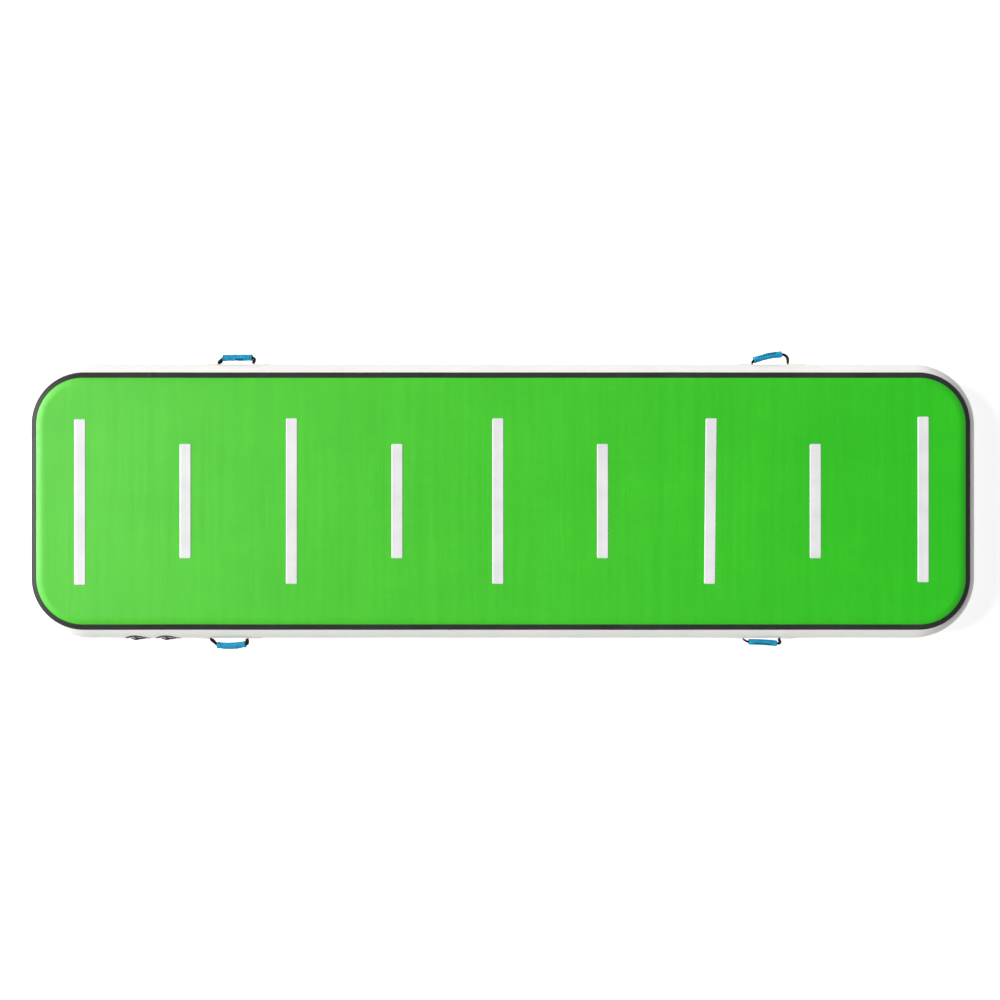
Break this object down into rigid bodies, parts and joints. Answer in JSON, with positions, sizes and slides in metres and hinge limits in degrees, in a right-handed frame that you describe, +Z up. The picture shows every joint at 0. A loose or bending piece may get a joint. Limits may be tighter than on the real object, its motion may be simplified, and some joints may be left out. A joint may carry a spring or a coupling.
{
  "type": "air track mat",
  "caption": "Inflatable drop-stitch tumbling mat with a marked working face, bulging side wall, taped seams, carry handles and inflation valves.",
  "frame": {"origin": "centre of the flat face the mat rests on, under the middle of the mat", "axes": "+X along the mat, away from the valves; +Y across it, away from the valve side; +Z up through the working face"},
  "size_m": [3.9996, 1.255, 0.2005],
  "materials": {
    "working_face_pvc": "satin embossed",
    "base_face_pvc": "matt embossed",
    "wall_pvc": "satin",
    "inner_wall_pvc": "matt",
    "thread": "matt",
    "seam_tape": "ribbed, matt",
    "marker_film": "satin",
    "webbing": "woven",
    "grip_foam": "foam",
    "grip_sleeve": "woven",
    "valve_flange": "satin",
    "valve_rim": "matt",
    "valve_plastic": "moulded",
    "valve_rubber": "matt",
    "valve_white_plastic": "moulded",
    "valve_button_plastic": "moulded",
    "steel": "drawn"
  },
  "bodies": {
    "mat": {"top_sheet": "working_face_pvc", "bottom_sheet": "base_face_pvc", "drop_stitch_threads": "thread", "inner_side_wall": "inner_wall_pvc", "outer_side_wall": "wall_pvc", "side_wall_splice": "inner_wall_pvc", "top_seam_tape": "seam_tape", "bottom_seam_tape": "seam_tape", "tape_splices": "seam_tape", "long_line_1": "marker_film", "long_line_2": "marker_film", "long_line_3": "marker_film", "long_line_4": "marker_film", "long_line_5": "marker_film", "short_line_1": "marker_film", "short_line_2": "marker_film", "short_line_3": "marker_film", "short_line_4": "marker_film", "handle_tongues": "webbing", "handle_1_patches": "wall_pvc", "handle_2_patches": "wall_pvc", "handle_3_patches": "wall_pvc", "handle_4_patches": "wall_pvc", "valve_1_flange": "valve_flange", "valve_1_flange_rim": "valve_rim", "valve_1_body": "valve_plastic", "valve_1_gasket": "valve_rubber", "valve_1_back_nut": "valve_plastic", "valve_1_cap_pin": "steel", "valve_1_spring": "steel", "valve_2_flange": "valve_flange", "valve_2_flange_rim": "valve_rim", "valve_2_body": "valve_plastic", "valve_2_gasket": "valve_rubber", "valve_2_back_nut": "valve_plastic", "valve_2_cap_pin": "steel", "valve_2_spring": "steel"},
    "handle_1": {"handle_1_webbing": "webbing", "handle_1_grip_core": "grip_foam", "handle_1_grip_sleeve": "grip_sleeve"},
    "handle_2": {"handle_2_webbing": "webbing", "handle_2_grip_core": "grip_foam", "handle_2_grip_sleeve": "grip_sleeve"},
    "handle_3": {"handle_3_webbing": "webbing", "handle_3_grip_core": "grip_foam", "handle_3_grip_sleeve": "grip_sleeve"},
    "handle_4": {"handle_4_webbing": "webbing", "handle_4_grip_core": "grip_foam", "handle_4_grip_sleeve": "grip_sleeve"},
    "valve_1_lid": {"valve_1_cap": "valve_plastic"},
    "valve_1_plunger": {"valve_1_poppet": "valve_white_plastic", "valve_1_seal": "valve_rubber"},
    "valve_1_push_button": {"valve_1_button": "valve_button_plastic"},
    "valve_2_lid": {"valve_2_cap": "valve_plastic"},
    "valve_2_plunger": {"valve_2_poppet": "valve_white_plastic", "valve_2_seal": "valve_rubber"},
    "valve_2_push_button": {"valve_2_button": "valve_button_plastic"}
  },
  "joints": [
    {"name": "handle_1_swing", "type": "hinge", "parent": "mat", "child": "handle_1", "pos_m": [-1.12, 0.5863, 0.1], "axis": [1, 0, 0], "range_deg": [-65, 65]},
    {"name": "handle_2_swing", "type": "hinge", "parent": "mat", "child": "handle_2", "pos_m": [1.1405, 0.5863, 0.1], "axis": [1, 0, 0], "range_deg": [-50, 50]},
    {"name": "handle_3_swing", "type": "hinge", "parent": "mat", "child": "handle_3", "pos_m": [-1.153, -0.5863, 0.1], "axis": [1, 0, 0], "range_deg": [-65, 65]},
    {"name": "handle_4_swing", "type": "hinge", "parent": "mat", "child": "handle_4", "pos_m": [1.104, -0.5863, 0.1], "axis": [1, 0, 0], "range_deg": [-50, 50]},
    {"name": "valve_1_cap_flip", "type": "hinge", "parent": "mat", "child": "valve_1_lid", "pos_m": [-1.537, -0.5838, 0.134], "axis": [-1, 0, 0], "range_deg": [0, 165]},
    {"name": "valve_1_push", "type": "slide", "parent": "mat", "child": "valve_1_plunger", "axis": [0, 1, 0], "range_m": [0, 0.005], "stiffness_N_per_m": 400, "springref_m": -0.004, "deforming": ["valve_1_spring"]},
    {"name": "valve_1_lock_turn", "type": "hinge", "parent": "valve_1_plunger", "child": "valve_1_push_button", "pos_m": [-1.537, -0.56, 0.1], "axis": [0, 1, 0], "range_deg": [0, 90]},
    {"name": "valve_2_cap_flip", "type": "hinge", "parent": "mat", "child": "valve_2_lid", "pos_m": [-1.408, -0.5838, 0.134], "axis": [-1, 0, 0], "range_deg": [0, 165]},
    {"name": "valve_2_push", "type": "slide", "parent": "mat", "child": "valve_2_plunger", "axis": [0, 1, 0], "range_m": [0, 0.005], "stiffness_N_per_m": 400, "springref_m": -0.004, "deforming": ["valve_2_spring"]},
    {"name": "valve_2_lock_turn", "type": "hinge", "parent": "valve_2_plunger", "child": "valve_2_push_button", "pos_m": [-1.408, -0.56, 0.1], "axis": [0, 1, 0], "range_deg": [0, 90]}
  ]
}
